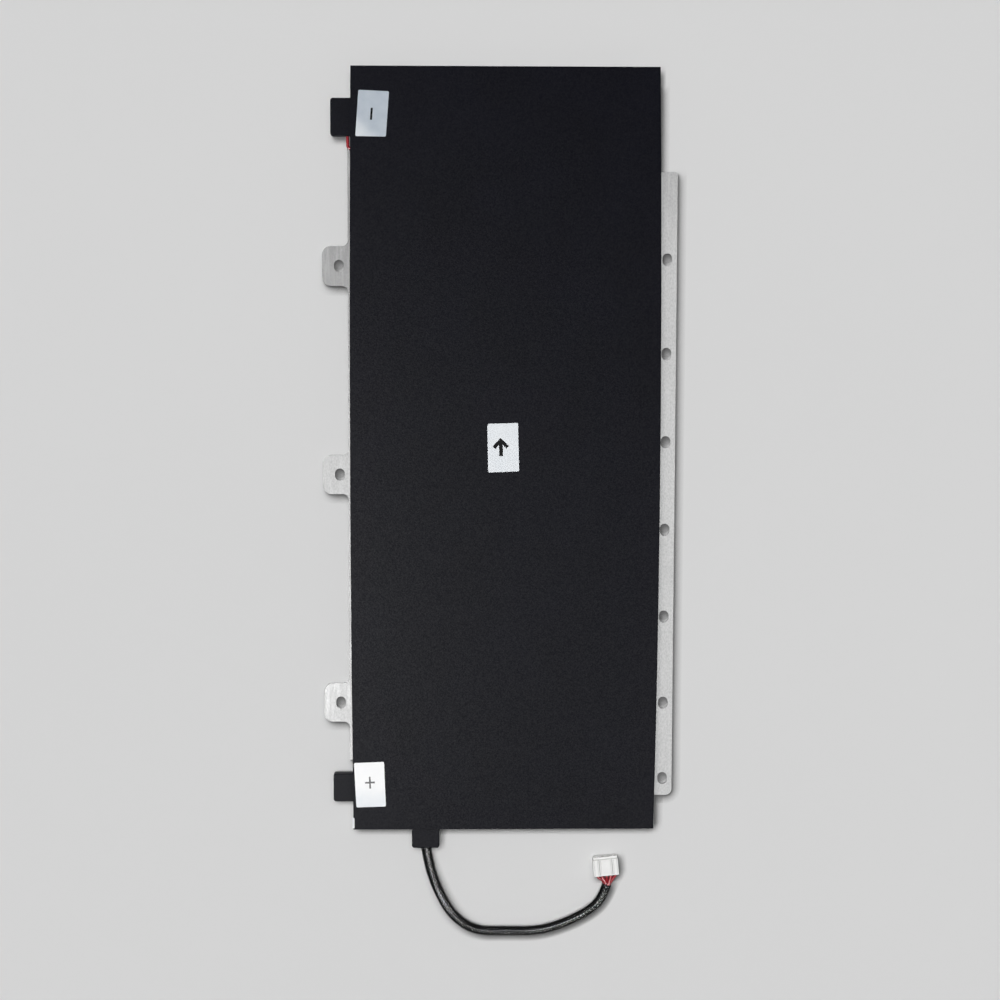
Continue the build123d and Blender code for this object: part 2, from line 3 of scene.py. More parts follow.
import bmesh
import bpy
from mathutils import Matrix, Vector


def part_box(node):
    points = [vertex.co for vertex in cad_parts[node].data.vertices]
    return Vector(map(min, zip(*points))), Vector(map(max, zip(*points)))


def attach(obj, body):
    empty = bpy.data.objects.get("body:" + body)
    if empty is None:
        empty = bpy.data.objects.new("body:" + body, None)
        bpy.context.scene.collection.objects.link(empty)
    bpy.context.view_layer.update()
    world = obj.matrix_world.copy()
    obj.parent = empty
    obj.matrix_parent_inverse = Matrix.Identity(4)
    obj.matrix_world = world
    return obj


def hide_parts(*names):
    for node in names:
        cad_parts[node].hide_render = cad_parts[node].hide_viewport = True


# The looks of the pouch cell module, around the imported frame. Metres, in the frame's own axes:
# +X is the flange side, +Y the negative end, +Z the black cover.

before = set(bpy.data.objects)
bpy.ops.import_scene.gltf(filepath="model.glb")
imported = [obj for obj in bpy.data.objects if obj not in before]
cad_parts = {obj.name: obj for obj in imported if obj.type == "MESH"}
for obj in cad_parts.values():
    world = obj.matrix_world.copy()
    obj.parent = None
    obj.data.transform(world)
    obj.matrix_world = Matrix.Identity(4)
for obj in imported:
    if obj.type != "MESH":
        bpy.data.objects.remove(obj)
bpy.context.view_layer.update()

MM = 0.001

# ---- places taken from the frame ----------------------------------------------------------------
LOWER_LEFT = Vector(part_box("positive_end_wall")[0])
UPPER_RIGHT = Vector(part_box("negative_end_wall")[1])
PACK_MIDDLE = (LOWER_LEFT + UPPER_RIGHT) / 2
FLOOR_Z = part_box("mounting_plate")[0][2]

# ---- lead: its route, in millimetres from the middle of the cover, and its braid -----------------
LEAD_ROUTE = [
    (-44.4, -225.5, 6.8),
    (-42.9, -237.5, 5.4),
    (-37.2, -254.5, 3.1),
    (-28.8, -269.2, 2.7),
    (-15.5, -277.7, 2.7),
    (0.5, -277.5, 2.7),
    (21.0, -277.9, 2.7),
    (38.5, -272.0, 2.7),
    (51.9, -264.6, 2.7),
    (58.0, -257.2, 2.7),
    (60.1, -250.6, 2.7),
]
LINE_STEPS = 48
BRAID_STEP = 0.00030
BRAID_PITCH = 0.0125
CARRIERS = 6
CROSSINGS_OVER = 2
RIBBON_WIDTH = 0.00120
RIBBON_CROWN = 0.00015
RIBBON_THICKNESS = 0.00010
BRAID_RADIUS = 0.00234
BRAID_WEAVE = 0.00022
CORE_RADIUS = 0.00208
CORE_SIDES = 40
# The five wires inside push the sleeve out in slow lobes, which twist by so many radians a metre,
# and the boot flares its end.
LOBES = 5
LOBE_DEPTH = 0.03
LOBE_TWIST = 30.0
FLARE = 0.09
FLARE_LENGTH = 0.025

# ---- stickers, and the marks printed on them ----------------------------------------------------
STICKER_THICKNESS = 0.00009
STICKER_BOW = 0.00005
# The shares of that bow that lift every edge, and that lift one corner more.
EDGE_LIFT = 0.35
CORNER_LIFT = 0.65
STICKER_CELL = 0.0012
INK_THICKNESS = 0.00002
INK_CELL = 0.0008
INK_LIFT = 0.000012
# In millimetres: width and length, then the stroke's width where the mark has one.
MINUS_SIZE = (1.15, 6.6)
ARROW_SIZE = (8.2, 10.2, 2.1)
PLUS_SIZE = (5.5, 6.8, 0.95)
# How far each mark is printed from the middle of its sticker, in millimetres.
MINUS_SHIFT = (-0.4, -0.3)
ARROW_SHIFT = (-1.3, 0.4)
PLUS_SHIFT = (0.0, 1.2)
# How far an arrow's strokes join below its point, in half strokes.
ARROW_NECK = 3.4
# What tells the flat top of a CAD label from its sides, and how near counts as touching.
TOP_FACING = 0.9
TOUCHING = 1e-6

# ---- plate: two tones and the run of its painted shade, darker towards one corner, then its speckle and brushing --
PLATE_METAL = 0.45
PLATE_DARKER_AND_SHADED = (0.47, 0.47, 0.47)
PLATE_BRIGHT = (0.97, 0.97, 0.965)
PLATE_PATCH = 0.06
PLATE_PATCH_STRETCH = (1, 0.6, 1)
# The fade paints shade: the plate is painted darker towards its left side near the negative end.
PLATE_PAINTED_SHADE = ((-0.10, 0.12, 0.0), (-0.042, 0.015, 0.0))
SPECKLE_TONE = (0.36, 0.37, 0.38)
SPECKLE_SIZE = 0.0007
SPECKLE_STRETCH = (1, 0.5, 1)
SPECKLE_ROUGHNESS = 0.7
SPECKLE_MOST = 0.38
SPECKLE_RANGE = (0.40, 0.66)
SPECKLE_DEPTH = 0.000015
BRUSHING_TONE = (0.97, 0.97, 0.97)
BRUSHING_SIZE = 0.0012
BRUSHING_STRETCH = (1, 0.08, 1)
BRUSHING_MOST = 0.30
BRUSHING_RANGE = (0.48, 0.68)
BRUSHING_DEPTH = 0.00001
BRUSHING_ROUGHNESS = (0.10, 0.14)

# ---- tones and grain that several finishes share ------------------------------------------------
# Most of a noise texture's values lie between these.
NOISE_LOW = 0.3
NOISE_HIGH = 0.7
BLACK = (0.0009, 0.0011, 0.0036)
LESS_BLACK = (0.0016, 0.0019, 0.0052)
FINE_GRAIN = 0.0004
# How much of a surface's tone a fade of painted shade and sheen takes over from its patches.
FADE_SHARE = 0.8
# How dark the painted shade in the recesses of a pale moulding is, as a share of its darker tone,
# and how open a place is, as ambient occlusion, from where that shade starts to where it ends.
HOLLOW_PAINTED_SHADE = 0.35
HOLLOW_SAMPLES = 8
HOLLOW_RANGE = (0.45, 0.85)

# ---- floor: its tones, and the soft shade close to the object, on the side it falls to -----------
FLOOR_REACH = 4.0
FLOOR_DARKER = (0.796, 0.796, 0.796)
FLOOR_PALER = (0.804, 0.804, 0.804)
FLOOR_PATCH = 0.2
# The shade looks this way and this far for the object. It is deepest where this little is open.
SHADE_TOWARDS = (-0.60, 0.75, 0.28)
SHADE_REACH = 0.0056
SHADE_DEEPEST = 0.48
SHADE_SAMPLES = 16
SHADE_BEND = 1.3
SHADE_TONE = (0.176, 0.176, 0.176)

# ---- lights: suns as strength, width in degrees and direction; softboxes as watts, side and place -
KEY_SUN = (1.38, 22.0, (-0.18, 0.36, 1.0))
TOP_SUN = (1.03, 4.0, (0.0, 0.0, 1.0))
LEFT_SOFTBOX = (38.0, 0.5, (-0.67, -0.44, 1.72))
RIGHT_SOFTBOX = (21.0, 0.4, (0.87, -0.73, 1.52))
# Those for the sleeve alone: degrees round from +X, degrees up, and watts.
SLEEVE_LIGHTS = [(8.0, 42.0, 200.0), (-42.0, 42.0, 140.0), (-88.0, 66.0, 150.0)]
SLEEVE_LIGHT_AWAY = 2.0
SLEEVE_LIGHT_SIDE = 0.25
# The pale room: its strength as light, in reflections, and where it is seen.
ROOM_LIGHT = 0.085
ROOM_GLOSS = 0.50
ROOM_SEEN = 0.65

# ---- camera: its place from the middle of the cover, tilt in degrees, lens in millimetres --------
CAMERA_OFFSET = (-0.03259, 0.10191)
CAMERA_HEIGHT = 1.25764
CAMERA_TILT = (-5.861, -1.378, 0.144)
CAMERA_LENS = 80.0
CAMERA_SENSOR = 36.0
CAMERA_NEAREST = 0.01
CAMERA_FURTHEST = 20.0

# ---- a Mix node set to colours has its factor, first, second and result at these places ----------
MIX_INPUTS = (0, 6, 7)
MIX_RESULT = 2


# ---- node helpers -------------------------------------------------------------------------------
def put(tree, kind, settings=None, **values):
    """Add a node, set its options, and set or link its inputs by name."""
    node = tree.nodes.new(kind)
    for option, value in (settings or {}).items():
        setattr(node, option, value)
    for name, value in values.items():
        socket = node.inputs[name.replace("_", " ")]
        if isinstance(value, bpy.types.NodeSocket):
            tree.links.new(value, socket)
        else:
            socket.default_value = value
    return node


def colour(red, green, blue):
    """A linear colour with full alpha."""
    return (red, green, blue, 1.0)


def place(tree, stretch=(1, 1, 1)):
    """The position on the object in metres, squeezed along each axis."""
    here = put(tree, "ShaderNodeTexCoord").outputs["Object"]
    return put(tree, "ShaderNodeMapping", Vector=here, Scale=stretch).outputs["Vector"]


def noise(tree, size, stretch=(1, 1, 1), detail=3.0, roughness=0.5):
    """Soft noise with patches of the given size in metres."""
    texture = put(
        tree, "ShaderNodeTexNoise",
        Vector=place(tree, stretch), Scale=1 / size, Detail=detail, Roughness=roughness,
    )
    return texture.outputs["Fac"]


def spread(tree, value, low, high, start=NOISE_LOW, end=NOISE_HIGH):
    """Stretch a value's run from start to end over another range."""
    node = put(tree, "ShaderNodeMapRange", Value=value, From_Min=start, From_Max=end)
    node.inputs["To Min"].default_value = low
    node.inputs["To Max"].default_value = high
    return node.outputs["Result"]


def blend_colours(tree, factor, first, second):
    """Mix two colours."""
    node = put(tree, "ShaderNodeMix", {"data_type": "RGBA"})
    for socket, value in zip(MIX_INPUTS, (factor, first, second)):
        target = node.inputs[socket]
        if isinstance(value, bpy.types.NodeSocket):
            tree.links.new(value, target)
        else:
            target.default_value = value
    return node.outputs[MIX_RESULT]


def bumped(tree, height, depth, below=None):
    """A normal bumped by a height, over another normal where one is given."""
    node = put(tree, "ShaderNodeBump", Height=height, Distance=depth, Strength=1.0)
    if below is not None:
        tree.links.new(below, node.inputs["Normal"])
    return node.outputs["Normal"]


def faded(tree, value, start, end):
    """A straight fade from 0 at one place to 1 at another, with a small share of a value in it."""
    run = Vector(end) - Vector(start)
    here = put(tree, "ShaderNodeTexCoord").outputs["Object"]
    offset = put(tree, "ShaderNodeVectorMath", {"operation": "SUBTRACT"})
    tree.links.new(here, offset.inputs[0])
    offset.inputs[1].default_value = start
    share = put(tree, "ShaderNodeVectorMath", {"operation": "DOT_PRODUCT"})
    tree.links.new(offset.outputs["Vector"], share.inputs[0])
    share.inputs[1].default_value = run / run.length_squared
    eased = put(
        tree, "ShaderNodeMapRange", {"interpolation_type": "SMOOTHSTEP"},
        Value=share.outputs["Value"],
    ).outputs["Result"]
    return put(tree, "ShaderNodeMix", Factor=FADE_SHARE, A=value, B=eased).outputs["Result"]


def sticker_places(node, start, end):
    """Two places on a CAD label, each given as shares of its box."""
    low, high = (Vector(corner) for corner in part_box(node))
    size = high - low
    return [(low.x + x * size.x, low.y + y * size.y, high.z) for x, y in (start, end)]


def finish(
    name, dark, light, patch, rough, grain, depth,
    stretch=(1, 1, 1), metal=0.0, gloss=(0.45, 0.55), coat=0.0, fine=FINE_GRAIN, fade=None,
    painted_hollow_shade=None,
):
    """A surface with two tones in patches, or fading from one place to another where both are given,
    as a painted sheen on the stickers, with uneven roughness and gloss and a bumped grain. Its
    recesses can get painted shade. The patches, the grain and the fine specks are given by size, and
    the grain by its depth too."""
    material = bpy.data.materials.new(name)
    material.use_nodes = True
    tree = material.node_tree
    shader = tree.nodes["Principled BSDF"]
    patches = spread(tree, noise(tree, patch, stretch), 0.0, 1.0)
    if fade is not None:
        patches = faded(tree, patches, *fade)
    grains = noise(tree, grain, stretch, detail=2.0)
    specks = noise(tree, fine, detail=1.0)
    normal = bumped(tree, specks, depth / 2, bumped(tree, grains, depth))
    tone = blend_colours(tree, patches, colour(*dark), colour(*light))
    if painted_hollow_shade is not None:
        # Painted shade: recesses are darkened by ambient occlusion.
        near = put(
            tree, "ShaderNodeAmbientOcclusion", {"samples": HOLLOW_SAMPLES}, Distance=painted_hollow_shade
        )
        openness = spread(tree, near.outputs["AO"], 0.0, 1.0, *HOLLOW_RANGE)
        tone = blend_colours(tree, openness, colour(*(HOLLOW_PAINTED_SHADE * part for part in dark)), tone)
    links = {
        "Base Color": tone,
        "Roughness": spread(tree, grains, *rough),
        "Specular IOR Level": spread(tree, specks, *gloss),
        "Normal": normal,
    }
    for socket, output in links.items():
        tree.links.new(output, shader.inputs[socket])
    shader.inputs["Metallic"].default_value = metal
    shader.inputs["Coat Weight"].default_value = coat
    return material


# ---- materials ----------------------------------------------------------------------------------
def aluminium_plate():
    """Aluminium sheet: painted darker near one corner as shade, speckled, with pale brushing along
    its length.
    """
    material = bpy.data.materials.new("plate_aluminium")
    material.use_nodes = True
    tree = material.node_tree
    shader = tree.nodes["Principled BSDF"]
    speckle = noise(tree, SPECKLE_SIZE, SPECKLE_STRETCH, roughness=SPECKLE_ROUGHNESS)
    brushing = noise(tree, BRUSHING_SIZE, BRUSHING_STRETCH)
    patches = noise(tree, PLATE_PATCH, PLATE_PATCH_STRETCH)
    # Painted shade, faded across the plate over its random patches.
    painted_shade_and_patches = faded(tree, spread(tree, patches, 0.0, 1.0), *PLATE_PAINTED_SHADE)
    tone = blend_colours(tree, painted_shade_and_patches, colour(*PLATE_DARKER_AND_SHADED), colour(*PLATE_BRIGHT))
    speckles = spread(tree, speckle, 0.0, SPECKLE_MOST, *SPECKLE_RANGE)
    speckled = blend_colours(tree, speckles, tone, colour(*SPECKLE_TONE))
    streaks = spread(tree, brushing, 0.0, BRUSHING_MOST, *BRUSHING_RANGE)
    streaked = blend_colours(tree, streaks, speckled, colour(*BRUSHING_TONE))
    normal = bumped(tree, brushing, BRUSHING_DEPTH, bumped(tree, speckle, SPECKLE_DEPTH))
    tree.links.new(streaked, shader.inputs["Base Color"])
    tree.links.new(spread(tree, brushing, *BRUSHING_ROUGHNESS), shader.inputs["Roughness"])
    tree.links.new(normal, shader.inputs["Normal"])
    shader.inputs["Metallic"].default_value = PLATE_METAL
    return material


def make_materials():
    """Every finish by the name that the parts below use."""
    return {
        "plate": aluminium_plate(),
        "cover": finish(
            "black_cover", BLACK, LESS_BLACK,
            patch=0.03, rough=(0.40, 0.45), grain=0.0009, depth=0.000035,
            gloss=(0.050, 0.100), fine=0.0007,
        ),
        "wall": finish(
            "black_wall", (0.004, 0.004, 0.005), (0.009, 0.009, 0.010),
            patch=0.02, rough=(0.5, 0.7), grain=0.0008, depth=0.00004,
            gloss=(0.2, 0.35),
        ),
        "cap": finish(
            "cap_black", BLACK, LESS_BLACK,
            patch=0.006, rough=(0.38, 0.48), grain=0.0008, depth=0.00004,
            gloss=(0.06, 0.10), fine=0.0009,
        ),
        "boot": finish(
            "boot_black", BLACK, LESS_BLACK,
            patch=0.006, rough=(0.38, 0.48), grain=0.0008, depth=0.00004,
            gloss=(0.06, 0.10), fine=0.0009,
        ),
        # Painted shade and sheen: this sticker's film is painted a darker blue-grey, fading paler
        # towards its lower left corner.
        "negative_paper_shade_and_sheen": finish(
            "label_negative_shade_and_sheen", (0.44, 0.50, 0.57), (0.74, 0.78, 0.81),
            patch=0.005, rough=(0.32, 0.44), grain=0.0009, depth=0.000012,
            fade=sticker_places("negative_label", (0.45, 0.30), (0.10, 0.05)),
        ),
        "centre_paper": finish(
            "label_centre", (0.82, 0.86, 0.90), (0.86, 0.89, 0.92),
            patch=0.009, rough=(0.32, 0.44), grain=0.0009, depth=0.000012,
        ),
        # Painted highlight: this sticker is painted whiter from its middle towards the negative end,
        # and greyer towards its other end.
        "positive_paper_painted_highlight": finish(
            "label_positive_painted_highlight", (0.78, 0.82, 0.86), (0.99, 0.99, 0.99),
            patch=0.005, rough=(0.36, 0.46), grain=0.0009, depth=0.000012,
            gloss=(0.6, 0.7),
            fade=sticker_places("positive_label", (0.45, 0.05), (0.50, 0.55)),
        ),
        "black_ink": finish(
            "ink_black", (0.002, 0.002, 0.002), (0.006, 0.006, 0.007),
            patch=0.002, rough=(0.5, 0.7), grain=0.0004, depth=0.00001,
            gloss=(0.05, 0.1),
        ),
        "grey_ink": finish(
            "ink_grey", (0.11, 0.11, 0.11), (0.17, 0.17, 0.17),
            patch=0.002, rough=(0.4, 0.6), grain=0.0004, depth=0.00001,
            gloss=(0.2, 0.3),
        ),
        "strip": finish(
            "strip_white", (0.78, 0.80, 0.82), (0.90, 0.91, 0.92),
            patch=0.003, rough=(0.35, 0.5), grain=0.0006, depth=0.00002,
        ),
        "red_wire": finish(
            "wire_red", (0.28, 0.008, 0.016), (0.44, 0.014, 0.028),
            patch=0.004, rough=(0.20, 0.34), grain=0.0007, depth=0.00001,
            coat=0.2,
        ),
        "braid": finish(
            "sleeve_black", (0.0012, 0.0012, 0.0014), (0.003, 0.003, 0.0034),
            patch=0.002, rough=(0.09, 0.15), grain=0.0004, depth=0.000002,
            gloss=(0.07, 0.12),
        ),
        "sleeve_core": finish(
            "sleeve_inner", (0.0015, 0.0015, 0.0016), (0.004, 0.004, 0.004),
            patch=0.002, rough=(0.6, 0.8), grain=0.0005, depth=0.00002,
            gloss=(0.05, 0.15),
        ),
        # Painted shade darkens the grooves beside its ridges.
        "nylon": finish(
            "connector_white", (0.88, 0.88, 0.86), (0.94, 0.94, 0.93),
            patch=0.004, rough=(0.30, 0.45), grain=0.0006, depth=0.00001,
            painted_hollow_shade=0.0012,
        ),
        "contact": finish(
            "contact", (0.62, 0.58, 0.50), (0.80, 0.76, 0.66),
            patch=0.002, rough=(0.2, 0.35), grain=0.0004, depth=0.000005,
            metal=1.0,
        ),
        "insulation": finish(
            "insulation", (0.012, 0.012, 0.014), (0.030, 0.030, 0.034),
            patch=0.02, rough=(0.4, 0.6), grain=0.001, depth=0.00003,
        ),
        "thermal_pad": finish(
            "thermal_pad", (0.33, 0.36, 0.40), (0.45, 0.48, 0.52),
            patch=0.012, rough=(0.6, 0.8), grain=0.0008, depth=0.00006,
        ),
        "foam": finish(
            "foam", (0.010, 0.010, 0.011), (0.030, 0.030, 0.032),
            patch=0.004, rough=(0.8, 0.95), grain=0.0006, depth=0.00012,
        ),
        "pouch": finish(
            "pouch_foil", (0.62, 0.63, 0.65), (0.80, 0.81, 0.82),
            patch=0.02, rough=(0.25, 0.42), grain=0.003, depth=0.00008,
            metal=1.0,
        ),
        "electrode": finish(
            "electrode", (0.020, 0.020, 0.022), (0.050, 0.050, 0.052),
            patch=0.01, rough=(0.7, 0.9), grain=0.0005, depth=0.00003,
            stretch=(1, 1, 8),
        ),
        "copper": finish(
            "copper_tab", (0.70, 0.36, 0.22), (0.86, 0.50, 0.34),
            patch=0.01, rough=(0.22, 0.4), grain=0.0008, depth=0.00001,
            stretch=(0.1, 1, 1), metal=1.0,
        ),
        "aluminium_tab": finish(
            "aluminium_tab", (0.74, 0.75, 0.76), (0.88, 0.89, 0.90),
            patch=0.01, rough=(0.22, 0.4), grain=0.0008, depth=0.00001,
            stretch=(0.1, 1, 1), metal=1.0,
        ),
        "tab_film": finish(
            "tab_film", (0.42, 0.36, 0.24), (0.60, 0.54, 0.40),
            patch=0.006, rough=(0.3, 0.5), grain=0.0006, depth=0.00001,
        ),
        "busbar": finish(
            "busbar", (0.62, 0.56, 0.48), (0.82, 0.78, 0.72),
            patch=0.01, rough=(0.2, 0.38), grain=0.0008, depth=0.00001,
            stretch=(1, 0.1, 1), metal=1.0,
        ),
    }


FRAME_FINISHES = {
    "mounting_plate": "plate",
    "top_board": "cover",
    "left_wall": "wall",
    "right_wall": "wall",
    "negative_end_wall": "wall",
    "positive_end_wall": "wall",
    "corner_strip": "strip",
    "negative_terminal_cap": "cap",
    "positive_terminal_cap": "cap",
    "negative_terminal": "busbar",
    "positive_terminal": "busbar",
    "cable_boot": "boot",
    "connector_housing": "nylon",
    "connector_contacts": "contact",
    "connector_wires": "red_wire",
    "lead_sleeve": "braid",
    "left_insulation": "insulation",
    "right_insulation": "insulation",
    "cell_spacers": "foam",
    "negative_label": "negative_paper_shade_and_sheen",
    "centre_label": "centre_paper",
    "positive_label": "positive_paper_painted_highlight",
}
FAMILY_FINISHES = [
    ("busbar_", "busbar"),
    ("thermal_pad_", "thermal_pad"),
    ("foam_pad_", "foam"),
    ("sense_wire_", "red_wire"),
]
CELL_FINISHES = [
    ("_pouch", "pouch"),
    ("_electrode_stack", "electrode"),
    ("_positive_tab", "aluminium_tab"),
    ("_negative_tab", "copper"),
    ("_tab_seals", "tab_film"),
]


def finish_of(node):
    """The name of the finish that a CAD node gets."""
    if node in FRAME_FINISHES:
        return FRAME_FINISHES[node]
    for start, name in FAMILY_FINISHES:
        if node.startswith(start):
            return name
    for end, name in CELL_FINISHES:
        if node.endswith(end):
            return name
    raise ValueError(f"no finish for {node}")


def dress_frame(finishes):
    """Give every CAD node its material."""
    for name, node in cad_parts.items():
        for material_slot in node.material_slots:
            material_slot.material = finishes[finish_of(name)]


# ---- mesh helpers -------------------------------------------------------------------------------
def new_object(name, mesh, material, smooth):
    """An object for a mesh, with its material."""
    thing = bpy.data.objects.new(name, mesh)
    bpy.context.scene.collection.objects.link(thing)
    mesh.materials.append(material)
    for face in mesh.polygons:
        face.use_smooth = smooth
    return thing


def from_middle(x, y, z):
    """A place given in millimetres from the middle of the cover, in metres in the frame."""
    return Vector((PACK_MIDDLE.x + x * MM, PACK_MIDDLE.y + y * MM, z * MM))


# ---- lead ---------------------------------------------------------------------------------------
def lead_line():
    """The lead's centreline, read from a NURBS spline with the route's points."""
    curve = bpy.data.curves.new("lead_line", "CURVE")
    curve.dimensions = "3D"
    curve.resolution_u = LINE_STEPS
    spline = curve.splines.new("NURBS")
    spline.points.add(len(LEAD_ROUTE) - 1)
    for point, stop in zip(spline.points, LEAD_ROUTE):
        point.co = (*from_middle(*stop), 1.0)
    spline.order_u = 3
    spline.use_endpoint_u = True
    guide = bpy.data.objects.new("lead_line", curve)
    bpy.context.scene.collection.objects.link(guide)
    mesh = bpy.data.meshes.new_from_object(guide)
    points = [vertex.co.copy() for vertex in mesh.vertices]
    bpy.data.objects.remove(guide)
    bpy.data.meshes.remove(mesh)
    return points


def even_points(points, step):
    """The same line in equal steps."""
    runs = [(after - before).length for before, after in zip(points, points[1:])]
    count = round(sum(runs) / step)
    gap = sum(runs) / count
    even = [points[0]]
    walked = 0.0
    for before, after, run in zip(points, points[1:], runs):
        while len(even) * gap <= walked + run and len(even) < count:
            even.append(before.lerp(after, (len(even) * gap - walked) / run))
        walked += run
    even.append(points[-1])
    return even, gap


def frames_along(points):
    """At each point, two directions square to the line, carried along it without twist."""
    frames = []
    across = Vector((1, 0, 0))
    last = len(points) - 1
    for index in range(len(points)):
        ahead = points[min(index + 1, last)] - points[max(index - 1, 0)]
        ahead.normalize()
        across = (across - ahead * across.dot(ahead)).normalized()
        frames.append((across.copy(), ahead.cross(across)))
    return frames


def swell(angle, walked):
    """How far the boot and the wires inside push the sleeve out, as a share of its radius."""
    flare = FLARE * math.exp(-walked / FLARE_LENGTH)
    return 1.0 + flare + LOBE_DEPTH * math.cos(LOBES * angle + LOBE_TWIST * walked)


def strand_line(points, frames, gap, carrier, way):
    """One carrier's centreline round the lead, two over and two under, and its way outward."""
    line = []
    outward = []
    turn = math.pi / CROSSINGS_OVER
    for index, (point, (across, up)) in enumerate(zip(points, frames)):
        walked = index * gap
        crossing = 2 * CARRIERS * walked / BRAID_PITCH
        angle = math.tau * (carrier / CARRIERS + way * walked / BRAID_PITCH)
        # Half a crossing back, so that it rises and falls between crossings and not at one.
        phase = turn * (crossing + 2 * carrier * way - 1 / 2)
        radius = BRAID_RADIUS + way * BRAID_WEAVE * math.cos(phase)
        radius *= swell(angle, walked)
        out = across * math.cos(angle) + up * math.sin(angle)
        line.append(point + out * radius)
        outward.append(out)
    return line, outward


def ribbon_profile():
    """A carrier's section: flat underneath and a little crowned on top, as width and height."""
    half = RIBBON_WIDTH / 2
    return [
        (-half, 0.0), (-half / 2, RIBBON_CROWN), (half / 2, RIBBON_CROWN),
        (half, 0.0), (half / 2, -RIBBON_THICKNESS), (-half / 2, -RIBBON_THICKNESS),
    ]


def add_ribbon(vertices, faces, line, outward):
    """Add a flat ribbon along a line, lying on the sleeve, to lists of vertices and faces."""
    profile = ribbon_profile()
    sides = len(profile)
    first = len(vertices)
    last = len(line) - 1
    for index, (point, out) in enumerate(zip(line, outward)):
        ahead = (line[min(index + 1, last)] - line[max(index - 1, 0)]).normalized()
        sideways = ahead.cross(out).normalized()
        upward = sideways.cross(ahead)
        for width, height in profile:
            vertices.append(point + sideways * width + upward * height)
    for ring in range(last):
        start = first + sides * ring
        for side in range(sides):
            after = (side + 1) % sides
            faces.append((
                start + side, start + after, start + sides + after, start + sides + side,
            ))
    end = first + sides * last
    faces.append(tuple(range(first + sides - 1, first - 1, -1)))
    faces.append(tuple(range(end, end + sides)))


def braid(points, frames, gap, material):
    """The woven sleeve: flat carriers wound both ways round the lead."""
    vertices = []
    faces = []
    for way in (1, -1):
        for carrier in range(CARRIERS):
            line, outward = strand_line(points, frames, gap, carrier, way)
            add_ribbon(vertices, faces, line, outward)
    mesh = bpy.data.meshes.new("lead_braid")
    mesh.from_pydata(vertices, [], faces)
    return new_object("lead_braid", mesh, material, True)


def sleeve_core(points, frames, gap, material):
    """The dark inside of the sleeve, seen between its filaments."""
    vertices = []
    faces = []
    for index, (point, (across, up)) in enumerate(zip(points, frames)):
        for side in range(CORE_SIDES):
            angle = math.tau * side / CORE_SIDES
            radius = CORE_RADIUS * swell(angle, index * gap)
            vertices.append(point + (across * math.cos(angle) + up * math.sin(angle)) * radius)
    for ring in range(len(points) - 1):
        start = ring * CORE_SIDES
        for side in range(CORE_SIDES):
            after = (side + 1) % CORE_SIDES
            faces.append((
                start + side, start + after,
                start + CORE_SIDES + after, start + CORE_SIDES + side,
            ))
    end = (len(points) - 1) * CORE_SIDES
    faces.append(tuple(range(CORE_SIDES - 1, -1, -1)))
    faces.append(tuple(range(end, end + CORE_SIDES)))
    mesh = bpy.data.meshes.new("lead_core")
    mesh.from_pydata(vertices, [], faces)
    return new_object("lead_core", mesh, material, True)


def build_lead(finishes):
    """The braided lead: its woven sleeve and the dark core inside, in place of the CAD sleeve."""
    line = lead_line()
    points, gap = even_points(line, BRAID_STEP)
    frames = frames_along(points)
    core = sleeve_core(points, frames, gap, finishes["sleeve_core"])
    sleeve = braid(points, frames, gap, finishes["braid"])
    for piece in (sleeve, core):
        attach(piece, "pack")
    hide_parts("lead_sleeve")
    return sleeve


# ---- stickers -----------------------------------------------------------------------------------
def top_outline(node):
    """The corners round the flat top of a CAD node, in order."""
    bm = bmesh.new()
    bm.from_mesh(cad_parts[node].data)
    bmesh.ops.remove_doubles(bm, verts=bm.verts, dist=TOUCHING)
    others = [face for face in bm.faces if face.normal.z < TOP_FACING]
    bmesh.ops.delete(bm, geom=others, context="FACES")
    rim = {edge for edge in bm.edges if edge.is_boundary}
    edge = min(rim, key=lambda item: item.index)
    start = edge.verts[0]
    corner = edge.verts[1]
    outline = [start.co.copy(), corner.co.copy()]
    while True:
        edge = next(item for item in corner.link_edges if item in rim and item is not edge)
        corner = edge.other_vert(corner)
        if corner is start:
            break
        outline.append(corner.co.copy())
    bm.free()
    return [(point.x, point.y) for point in outline]


def cut_film(name, outline, cell, thickness, height, material):
    """A thin film cut to an outline, in small cells, with its top at a given height."""
    bm = bmesh.new()
    bm.faces.new([bm.verts.new((x, y, 0)) for x, y in outline])
    bm.normal_update()
    bmesh.ops.triangulate(bm, faces=bm.faces)
    for axis in (0, 1):
        low = min(point[axis] for point in outline)
        high = max(point[axis] for point in outline)
        normal = Vector((1, 0, 0)) if axis == 0 else Vector((0, 1, 0))
        for step in range(1, math.ceil((high - low) / cell)):
            bmesh.ops.bisect_plane(
                bm, geom=bm.verts[:] + bm.edges[:] + bm.faces[:],
                plane_co=normal * (low + step * cell), plane_no=normal,
            )
    bmesh.ops.dissolve_degenerate(bm, edges=bm.edges, dist=TOUCHING)
    for vertex in bm.verts:
        vertex.co.z = height(vertex.co.x, vertex.co.y) - thickness
    raised = bmesh.ops.extrude_face_region(bm, geom=bm.faces[:], use_keep_orig=True)
    for item in raised["geom"]:
        if isinstance(item, bmesh.types.BMVert):
            item.co.z += thickness
    bmesh.ops.recalc_face_normals(bm, faces=bm.faces)
    mesh = bpy.data.meshes.new(name)
    bm.to_mesh(mesh)
    bm.free()
    return new_object(name, mesh, material, False)


